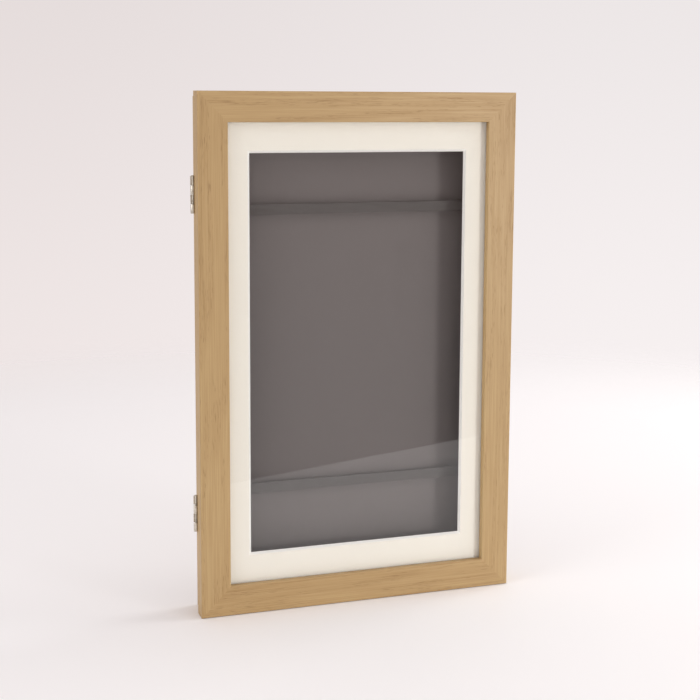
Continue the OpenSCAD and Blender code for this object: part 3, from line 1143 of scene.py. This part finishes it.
@dataclass
class Straps:
    """The two ribbed elastic straps and the wire staples that hold their ends."""

    paint: Paintbox
    thick: float = 1.0 * MM
    bend: float = 2.0 * MM
    ribs: int = 9
    groove: float = 0.66
    waist: float = 0.055
    end: float = 0.4 * MM
    wire: float = 0.5 * MM
    wire_bend: float = 0.5 * MM
    wire_point: float = 0.6 * MM

    def band(self, node: str) -> None:
        """Models one strap from its straight run outwards.

        Args:
            node: the CAD node that it stands for.
        """
        low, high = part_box(node)
        inner, back, width = high[0] - self.bend, high[1], high[2] - low[2]
        band = Workpiece.block(
            f"{node}_band", (-inner, back - self.thick, low[2]), (inner, back, high[2])
        )
        step = width / (2 * self.ribs)
        for line in range(1, 2 * self.ribs):
            band.slice((0, 0, low[2] + line * step), UP)
        mid = Vector((0, back - self.thick / 2, (low[2] + high[2]) / 2))
        band.edges(lambda at, way: abs(way.x) > ALONG and round((at.z - low[2]) / step) % 2 == 0)
        band.resize((1, self.groove, 1), mid)
        for part in (-0.84, -0.62, -0.34, 0, 0.34, 0.62, 0.84):
            band.slice((inner * part, 0, 0), RIGHT)
            band.corners(lambda at: abs(at.x - inner * part) < NEAR)
            band.resize((1, 1, 1 - self.waist * math.cos(part * math.pi / 2)), mid)
        for side in (1, -1):
            band.faces(lambda at, normal: normal.x * side > ALONG and at.x * side > inner - NEAR)
            band.spin(side * math.pi / 2, (side * inner, back - self.bend, 0), UP, 8)
            band.faces(lambda at, normal: normal.y < -SQUARE and at.x * side > inner + self.bend / 3)
            band.extrude((0, low[1] - back + self.bend + self.end, 0))
            band.extrude((0, -self.end, 0), (0.8, 1, 0.985))
        band.finish(Body.CASE, "elastic", self.paint.elastic, node)

    def staples(self) -> None:
        """Bends one staple from wire and sets four over the straps' ends."""
        low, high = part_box("strap_staples")
        radius, bend = self.wire / 2, self.wire_bend
        straps = [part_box(node) for node in ("upper_strap", "lower_strap")]
        rows = [(base[2] + top[2]) / 2 for base, top in straps]
        crown = min(rows) - low[2]
        depth = (low[1] + high[1]) / 2
        across = straps[0][0][0] + self.thick + radius
        straight = crown - radius - bend
        wire = Workpiece.rod("staple", (across, depth, -straight), UP, radius, 2 * straight, 12)
        for end in (1, -1):
            wire.faces(lambda at, normal: normal.z * end > ALONG and at.z * end > straight - NEAR)
            wire.spin(end * math.pi / 2, (across - bend, depth, end * straight), BACK, 6)
            wire.faces(lambda at, normal: normal.x < -SQUARE and at.z * end > 0)
            wire.extrude((low[0] - across + bend + self.wire_point, 0, 0))
            wire.extrude((-self.wire_point, 0, 0), (1, 1, 0.25))
        turn = Matrix.Translation((0, depth, 0)) @ Matrix.Rotation(math.pi, 4, "Z")
        turn = turn @ Matrix.Translation((0, -depth, 0))
        for count, row in enumerate(rows):
            for side, place in enumerate((Matrix(), turn)):
                wire.copy(
                    f"strap_staple_{2 * count + side + 1}", Matrix.Translation((0, 0, row)) @ place
                ).finish(Body.CASE, "zinc", self.paint.zinc, "strap_staples")
        bpy.data.objects.remove(wire.made)

    def build(self) -> None:
        """Models the straps and their staples."""
        self.band("upper_strap")
        self.band("lower_strap")
        self.staples()


@dataclass
class Hinges:
    """The two butt hinges: rolled leaves, headed pins and screws with a cross recess."""

    paint: Paintbox
    leaf_t: float = 0.9 * MM
    plate_gap: float = 0.15 * MM
    plate_start: float = 2.15 * MM
    knuckle_r: float = 1.8 * MM
    bore_r: float = 0.8 * MM
    knuckle_gap: float = 0.15 * MM
    knuckles: int = 4
    curl: float = math.radians(262)
    swell: float = 1.04
    corner_r: float = 0.8 * MM
    screw_r: float = 0.8 * MM
    screw_head_r: float = 1.6 * MM
    screw_len: float = 8.0 * MM
    screw_back: float = 2.8 * MM
    screw_neck: float = 0.8 * MM
    screw_point: float = 1.4 * MM
    screw_turns: int = 7
    root: float = 0.72
    slot_long: float = 1.05 * MM
    slot_w: float = 0.18 * MM
    slot_deep: float = 0.42 * MM
    pin_r: float = 0.75 * MM
    pin_tip: float = 0.4 * MM

    def __post_init__(self) -> None:
        """Finds the pins' axis, the hinges' heights and the places of their screws."""
        low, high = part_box("hinge_pins")
        self.axis = Vector(((low[0] + high[0]) / 2, (low[1] + high[1]) / 2, 0))
        self.base, self.top = (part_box("lower_hinge_case_leaf")[end][2] for end in (0, 1))
        self.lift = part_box("upper_hinge_case_leaf")[0][2] - self.base
        self.length = self.top - self.base
        self.mid = (self.base + self.top) / 2
        self.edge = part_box("lower_hinge_case_leaf")[1][0]
        self.screw_at = self.edge - self.screw_back
        self.screw_rise = self.length / 4

    def spans(self, first: int) -> list[tuple[float, float]]:
        """Where a leaf's own knuckles begin and end.

        Args:
            first: the first of them from the bottom; every second one after it follows.

        Returns:
            The lowest and highest height of each.
        """
        pitch = self.length / self.knuckles
        found = []
        for place in range(first, self.knuckles, 2):
            last = place == self.knuckles - 1
            low = self.base + place * pitch + (self.knuckle_gap if place else 0)
            high = self.base + (place + 1) * pitch - (0 if last else self.knuckle_gap)
            found.append((low, high))
        return found

    def roll(self, leaf: Workpiece, side: int, low: float, high: float) -> None:
        """Steps one tongue of a leaf towards the pin and curls it round.

        Args:
            leaf: the leaf.
            side: 1 for the case's leaf and -1 for the door's.
            low: where the knuckle begins.
            high: where it ends.
        """
        wall = self.knuckle_r - self.bore_r
        climb = side * (self.bore_r + wall / 2 - self.plate_gap - self.leaf_t / 2)
        thinned = wall / (self.leaf_t * self.swell * self.swell)
        leaf.faces(lambda at, normal: normal.x < -ALONG and low < at.z < high)
        for run, rise, thick in ((0.30, 0.3, self.swell), (0.35, 0.5, self.swell), (0.35, 0.2, thinned)):
            leaf.extrude((-self.plate_start * run, climb * rise, 0), (1, thick, 1))
        leaf.spin(side * self.curl, tuple(self.axis), UP, 22)

    def countersinks(self, side: int) -> list[Workpiece]:
        """Models the cones that sink the screws' heads into a leaf.

        Args:
            side: 1 for the case's leaf and -1 for the door's.

        Returns:
            One cone for each of the leaf's screws.
        """
        face = self.axis.y + side * self.plate_gap
        cones = []
        for rise in (-1, 1):
            cone = Workpiece.rod(
                "countersink",
                (self.screw_at, face - side * 0.02 * MM, self.mid + rise * self.screw_rise),
                (0, side, 0), self.screw_head_r + 0.06 * MM, 0.82 * MM, 32,
            )
            cone.faces(facing((0, side, 0)))
            cone.resize((0.55, 1, 0.55)).extrude((0, side * 0.5 * MM, 0))
            cones.append(cone)
        return cones

    def leaf(self, body: Body, first: int) -> None:
        """Models one kind of leaf low down and copies it up.

        Args:
            body: the body that it is screwed to.
            first: the first knuckle from the bottom that is its own.
        """
        side = 1 if body is Body.CASE else -1
        near = self.axis.y + side * self.plate_gap
        far = self.axis.y + side * (self.plate_gap + self.leaf_t)
        leaf = Workpiece.block(
            f"lower_leaf_{body.value}",
            (self.axis.x + self.plate_start, min(near, far), self.base),
            (self.edge, max(near, far), self.top),
        )
        spans = self.spans(first)
        for cut in (cut for span in spans for cut in span if self.base < cut < self.top):
            leaf.slice((0, 0, cut), UP)
        leaf.edges(lambda at, way: abs(way.y) > ALONG and at.x > self.edge - NEAR)
        leaf.round_off(self.corner_r, 4)
        for low, high in spans:
            self.roll(leaf, side, low, high)
        leaf.cut(*self.countersinks(side))
        leaf.ease(0.1 * MM, 2, 50)
        leaf.copy(f"upper_leaf_{body.value}", Matrix.Translation((0, 0, self.lift))).finish(
            body, "nickel", self.paint.nickel, f"upper_hinge_{body.value}_leaf"
        )
        leaf.finish(body, "nickel", self.paint.nickel, f"lower_hinge_{body.value}_leaf")

    def pins(self) -> None:
        """Models one headed pin and copies it up."""
        foot = self.axis + Vector((0, 0, self.base + self.pin_tip))
        pin = Workpiece.rod("lower_pin", foot, UP, self.pin_r, self.length - self.pin_tip, 32)
        pin.faces(facing(DOWN)).extrude((0, 0, -self.pin_tip), (0.72, 0.72, 1))
        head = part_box("hinge_pins")[1][2] - self.lift - self.top
        pin.faces(facing(UP)).extrude((0, 0, head * 0.08)).extrude((0, 0, 0), (1.7, 1.7, 1))
        pin.build_up((0, 0, head), ((0.42, 1.0), (0.25, 0.88), (0.17, 0.72), (0.08, 0.5)))
        pin.copy("upper_pin", Matrix.Translation((0, 0, self.lift))).finish(
            Body.CASE, "nickel", self.paint.nickel, "hinge_pins"
        )
        pin.finish(Body.CASE, "nickel", self.paint.nickel, "hinge_pins")

    def recess(self, face: float) -> list[Workpiece]:
        """Models the two tapered blocks that cut a screw's cross recess.

        Args:
            face: the depth of the face of the screw's head.

        Returns:
            The level block and the upright one.
        """
        blocks = []
        for wide, tall in ((self.slot_long, self.slot_w), (self.slot_w, self.slot_long)):
            block = Workpiece.block(
                "slot", (self.screw_at - wide, face - 0.2 * MM, -tall),
                (self.screw_at + wide, face + self.slot_deep, tall),
            )
            block.faces(facing(BACK)).resize((0.55, 1, 0.8) if wide > tall else (0.8, 1, 0.55))
            blocks.append(block)
        return blocks

    def screws(self) -> None:
        """Models one countersunk screw and copies it to the eight holes."""
        face = self.axis.y + self.plate_gap
        head, core = self.leaf_t - 0.1 * MM, self.screw_r * self.root
        screw = Workpiece.rod(
            "screw", (self.screw_at, face + head, 0), BACK, core, self.screw_neck, 24
        )
        flare = self.screw_head_r / core
        screw.faces(facing(FRONT)).build_up((0, -head, 0), ((0.88, flare), (0.12, 0.96)))
        screw.faces(facing(BACK))
        thread = self.screw_len - head - self.screw_neck - self.screw_point
        turn = ((0.22, 1 / self.root), (0.12, 1.0), (0.22, self.root), (0.44, 1.0))
        for _ in range(self.screw_turns):
            screw.build_up((0, thread / self.screw_turns, 0), turn)
        screw.extrude((0, self.screw_point, 0), (0.12, 1, 0.12))
        screw.cut(*self.recess(face))
        turned = Matrix.Translation((0, 2 * self.axis.y, 0)) @ Matrix.Rotation(math.pi, 4, "X")
        holes = [(lift, rise) for lift in (0, self.lift) for rise in (-1, 1)]
        for count, (lift, rise) in enumerate(holes, 1):
            at = Matrix.Translation((0, 0, self.mid + lift + rise * self.screw_rise))
            screw.copy(f"case_screw_{count}", at).finish(
                Body.CASE, "nickel", self.paint.nickel, "case_hinge_screws"
            )
            screw.copy(f"door_screw_{count}", at @ turned).finish(
                Body.DOOR, "nickel", self.paint.nickel, "door_hinge_screws"
            )
        bpy.data.objects.remove(screw.made)

    def build(self) -> None:
        """Models both hinges."""
        self.leaf(Body.CASE, 0)
        self.leaf(Body.DOOR, 1)
        self.pins()
        self.screws()


@dataclass
class Hangers:
    """The two sawtooth hangers on the back and their domed nails."""

    paint: Paintbox
    length: float = 45 * MM
    height: float = 9 * MM
    plate: float = 0.8 * MM
    foot: float = 8 * MM
    rise: float = 1.2 * MM
    teeth: int = 9
    bite: float = 2.5 * MM
    corner_r: float = 1.6 * MM
    rib_low: float = 0.22
    rib_high: float = 0.36
    rib_deep: float = 0.25 * MM
    from_edge: float = 16 * MM
    nail_r: float = 0.7 * MM
    nail_head_r: float = 1.5 * MM

    def places(self) -> tuple[Matrix, Matrix]:
        """Where the hangers go: along the top, and turned down the right side."""
        case_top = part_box("case_top_side")[1][2]
        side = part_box("case_right_side")[1][0]
        level = Matrix.Translation((0, 0, case_top - self.from_edge))
        turned = Matrix.Translation((side - self.from_edge, 0, case_top / 2))
        return level, turned @ Matrix.Rotation(math.pi / 2, 4, "Y")

    def strips(self) -> None:
        """Models one toothed strip with its stepped feet, and copies it."""
        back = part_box("back_panel")[1][1]
        bridge = self.length / 2 - self.foot
        strip = Workpiece.block(
            "strip", (-self.length / 2, back, -self.height / 2),
            (self.length / 2, back + self.plate, self.height / 2),
        )
        half_pitch = bridge / self.teeth
        for step in range(2 * self.teeth + 1):
            strip.slice(((step - self.teeth) * half_pitch, 0, 0), RIGHT)
        for side in (-1, 1):
            strip.slice((side * (bridge + self.rise * 0.8), 0, 0), RIGHT)
        strip.edges(lambda at, way: abs(way.y) > ALONG and abs(at.x) > self.length / 2 - NEAR)
        strip.round_off(self.corner_r, 5)
        strip.corners(
            lambda at: at.z < NEAR - self.height / 2
            and abs(at.x) < bridge - NEAR
            and round(at.x / half_pitch + self.teeth) % 2 == 1
        )
        strip.move((0, 0, self.bite))
        strip.corners(lambda at: abs(at.x) < bridge + NEAR).move((0, self.rise, 0))
        low, high = self.height * self.rib_low, self.height * self.rib_high
        strip.slice((0, 0, low), UP).slice((0, 0, high), UP)
        strip.faces(
            lambda at, normal: abs(normal.y) > ALONG and abs(at.x) < bridge and low < at.z < high
        )
        strip.resize((0.97, 1, 0.6)).move((0, -self.rib_deep, 0))
        strip.ease(0.12 * MM, 2, 25)
        for name, place in zip(("upper", "side"), self.places()):
            strip.copy(f"{name}_hanger", place).finish(
                Body.CASE, "zinc", self.paint.zinc, "sawtooth_hangers"
            )
        bpy.data.objects.remove(strip.made)

    def nails(self) -> None:
        """Models one domed nail and drives two through each strip."""
        low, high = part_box("hanger_nails")
        seat = high[1] - self.plate
        nail = Workpiece.rod("nail", (0, seat, 0), FRONT, self.nail_r, seat - low[1], 20)
        wide = self.nail_head_r / self.nail_r
        nail.faces(facing(BACK)).extrude((0, 0, 0), (wide, 1, wide))
        dome = ((0.30, 1.0), (0.30, 0.9), (0.22, 0.78), (0.12, 0.62), (0.06, 0.45))
        nail.build_up((0, self.plate, 0), dome)
        holes = [(place, end) for place in self.places() for end in (-1, 1)]
        for count, (place, end) in enumerate(holes, 1):
            at = Matrix.Translation((end * (self.length - self.foot) / 2, 0, 0))
            nail.copy(f"hanger_nail_{count}", place @ at).finish(
                Body.CASE, "zinc", self.paint.zinc, "hanger_nails"
            )
        bpy.data.objects.remove(nail.made)

    def build(self) -> None:
        """Models the hangers and their nails."""
        self.strips()
        self.nails()


def main() -> None:
    """Builds the studio and dresses each sub-assembly in turn."""
    logging.basicConfig(level=logging.INFO, format="%(message)s")
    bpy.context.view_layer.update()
    Studio().build()
    paint = Paintbox()
    for assembly in (Door(paint), Case(paint), Straps(paint), Hinges(paint), Hangers(paint)):
        assembly.build()
        LOG.info("finished %s", type(assembly).__name__)


if __name__ == "__main__":
    main()
